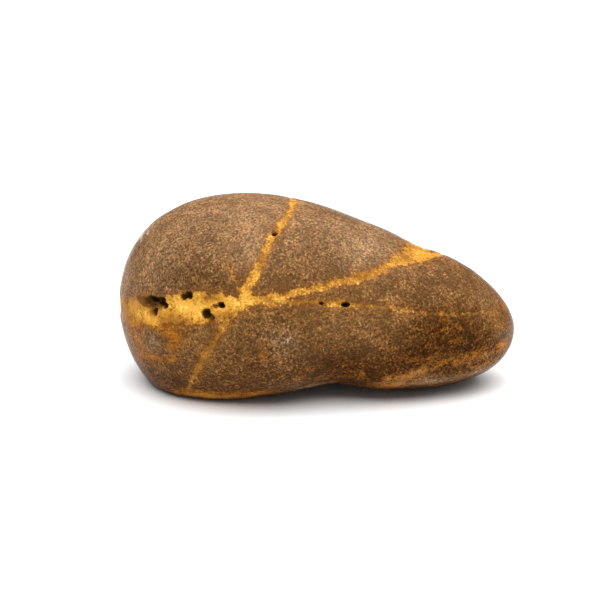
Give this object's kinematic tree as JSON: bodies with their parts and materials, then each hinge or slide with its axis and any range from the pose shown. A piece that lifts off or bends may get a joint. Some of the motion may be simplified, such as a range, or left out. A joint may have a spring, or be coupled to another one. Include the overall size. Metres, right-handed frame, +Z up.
{
  "type": "waterworn cobble",
  "caption": "Smooth brown waterworn cobble, thick at one end and tapering to a blunt nose, crossed by ochre veins with small solution pits; decorative or landscape stone.",
  "frame": {"origin": "centre of the stone's bounding box at the level of the ground it rests on", "axes": "+X along the stone from the thick end to the nose, +Z up, the veined face looks along -Y"},
  "size_m": [0.1, 0.0588, 0.0482],
  "materials": {
    "rock": "waterworn, matt with a faint sheen"
  },
  "bodies": {
    "root": {"rock": "rock"}
  },
  "joints": []
}
